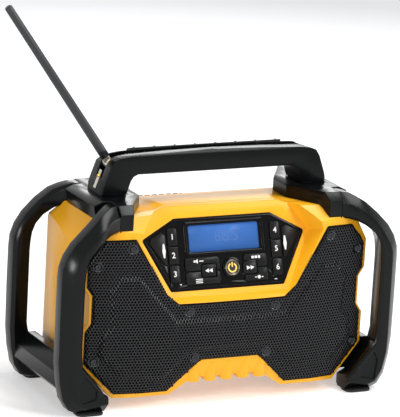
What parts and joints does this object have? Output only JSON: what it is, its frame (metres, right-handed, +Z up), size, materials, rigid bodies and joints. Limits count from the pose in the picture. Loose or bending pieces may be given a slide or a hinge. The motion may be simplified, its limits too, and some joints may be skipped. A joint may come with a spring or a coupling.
{
  "type": "jobsite radio",
  "caption": "Rugged portable radio: octagonal housing with a bowed perforated grille in a roll cage, with carrying handle, folding antenna and battery bay.",
  "frame": {"origin": "On the ground, midway between the four feet.", "axes": "+X to the right and -Y to the front as seen by someone facing the grille, +Z up."},
  "size_m": [0.4954, 0.19, 0.4815],
  "materials": {
    "housing_abs": "satin",
    "grille_abs": "satin",
    "cage_plastic": "satin",
    "handle_plastic": "satin",
    "panel_gloss": "gloss",
    "key_plastic": "satin",
    "lens": "gloss",
    "display_plastic": "satin",
    "soft_rubber": "matte",
    "antenna_sleeve": "satin",
    "screw_steel": "brushed",
    "speaker_basket": "satin",
    "cone_paper": "matte",
    "circuit_board": "satin",
    "contact_brass": "polished"
  },
  "bodies": {
    "radio": {"front_shell": "housing_abs", "rear_shell": "housing_abs", "speaker_grille": "grille_abs", "grille_screws": "screw_steel", "shell_screws": "screw_steel", "control_panel": "panel_gloss", "display_lens": "lens", "display_module": "display_plastic", "key_mat": "soft_rubber", "control_board": "circuit_board", "main_board": "circuit_board", "speaker_frame_left": "speaker_basket", "speaker_frame_right": "speaker_basket", "speaker_cone_left": "cone_paper", "speaker_cone_right": "cone_paper", "shoulder_left": "cage_plastic", "shoulder_right": "cage_plastic", "front_bar_left": "cage_plastic", "front_bar_right": "cage_plastic", "rear_bar_left": "cage_plastic", "rear_bar_right": "cage_plastic", "foot_rail_left": "cage_plastic", "foot_rail_right": "cage_plastic", "rubber_feet": "soft_rubber", "cage_screws": "screw_steel", "handle_frame": "handle_plastic", "handle_grip": "soft_rubber", "handle_bolts": "screw_steel", "antenna_pin": "screw_steel", "door_seal": "soft_rubber", "door_pin": "screw_steel", "terminal_block": "handle_plastic", "contact_blades": "contact_brass"},
    "antenna": {"antenna_knuckle": "handle_plastic", "antenna_rod": "antenna_sleeve"},
    "battery_door": {"battery_door": "handle_plastic"},
    "door_latch": {"door_latch": "handle_plastic"},
    "power_button": {"power_button": "key_plastic"},
    "seek_back_key": {"seek_back_key": "key_plastic"},
    "seek_forward_key": {"seek_forward_key": "key_plastic"},
    "mute_key": {"mute_key": "key_plastic"},
    "menu_key": {"menu_key": "key_plastic"},
    "mode_key": {"mode_key": "key_plastic"},
    "light_key": {"light_key": "key_plastic"},
    "preset_key_1": {"preset_key_1": "key_plastic"},
    "preset_key_2": {"preset_key_2": "key_plastic"},
    "preset_key_3": {"preset_key_3": "key_plastic"},
    "preset_key_4": {"preset_key_4": "key_plastic"},
    "preset_key_5": {"preset_key_5": "key_plastic"},
    "preset_key_6": {"preset_key_6": "key_plastic"},
    "tune_rocker": {"tune_rocker": "key_plastic"},
    "volume_rocker": {"volume_rocker": "key_plastic"}
  },
  "joints": [
    {"name": "antenna_fold", "type": "hinge", "parent": "radio", "child": "antenna", "pos_m": [-0.131, 0, 0.284], "axis": [0, 1, 0], "range_deg": [-20, 125.5]},
    {"name": "door_hinge", "type": "hinge", "parent": "radio", "child": "battery_door", "pos_m": [0, 0.073, 0.0604], "axis": [-1, 0, 0], "range_deg": [0, 100]},
    {"name": "latch_slide", "type": "slide", "parent": "radio", "child": "door_latch", "axis": [0, -0.7071, 0.7071], "range_m": [0, 0.004], "stiffness_N_per_m": 500},
    {"name": "power_button_press", "type": "slide", "parent": "radio", "child": "power_button", "axis": [0, 0.9455, -0.3256], "range_m": [0, 0.0012], "stiffness_N_per_m": 400},
    {"name": "seek_back_key_press", "type": "slide", "parent": "radio", "child": "seek_back_key", "axis": [0, 0.9455, -0.3256], "range_m": [0, 0.0012], "stiffness_N_per_m": 400},
    {"name": "seek_forward_key_press", "type": "slide", "parent": "radio", "child": "seek_forward_key", "axis": [0, 0.9455, -0.3256], "range_m": [0, 0.0012], "stiffness_N_per_m": 400},
    {"name": "mute_key_press", "type": "slide", "parent": "radio", "child": "mute_key", "axis": [0, 0.9455, -0.3256], "range_m": [0, 0.0012], "stiffness_N_per_m": 400},
    {"name": "menu_key_press", "type": "slide", "parent": "radio", "child": "menu_key", "axis": [0, 0.9455, -0.3256], "range_m": [0, 0.0012], "stiffness_N_per_m": 400},
    {"name": "mode_key_press", "type": "slide", "parent": "radio", "child": "mode_key", "axis": [0, 0.9455, -0.3256], "range_m": [0, 0.0012], "stiffness_N_per_m": 400},
    {"name": "light_key_press", "type": "slide", "parent": "radio", "child": "light_key", "axis": [0, 0.9455, -0.3256], "range_m": [0, 0.0012], "stiffness_N_per_m": 400},
    {"name": "preset_key_1_press", "type": "slide", "parent": "radio", "child": "preset_key_1", "axis": [0, 0.9455, -0.3256], "range_m": [0, 0.0012], "stiffness_N_per_m": 400},
    {"name": "preset_key_2_press", "type": "slide", "parent": "radio", "child": "preset_key_2", "axis": [0, 0.9455, -0.3256], "range_m": [0, 0.0012], "stiffness_N_per_m": 400},
    {"name": "preset_key_3_press", "type": "slide", "parent": "radio", "child": "preset_key_3", "axis": [0, 0.9455, -0.3256], "range_m": [0, 0.0012], "stiffness_N_per_m": 400},
    {"name": "preset_key_4_press", "type": "slide", "parent": "radio", "child": "preset_key_4", "axis": [0, 0.9455, -0.3256], "range_m": [0, 0.0012], "stiffness_N_per_m": 400},
    {"name": "preset_key_5_press", "type": "slide", "parent": "radio", "child": "preset_key_5", "axis": [0, 0.9455, -0.3256], "range_m": [0, 0.0012], "stiffness_N_per_m": 400},
    {"name": "preset_key_6_press", "type": "slide", "parent": "radio", "child": "preset_key_6", "axis": [0, 0.9455, -0.3256], "range_m": [0, 0.0012], "stiffness_N_per_m": 400},
    {"name": "tune_rocker_rock", "type": "hinge", "parent": "radio", "child": "tune_rocker", "pos_m": [-0.0875, -0.05433, 0.18712], "axis": [1, 0, 0], "range_deg": [-2, 2], "stiffness_Nm_per_rad": 1.7},
    {"name": "volume_rocker_rock", "type": "hinge", "parent": "radio", "child": "volume_rocker", "pos_m": [0.0875, -0.05433, 0.18712], "axis": [1, 0, 0], "range_deg": [-2, 2], "stiffness_Nm_per_rad": 1.7}
  ]
}
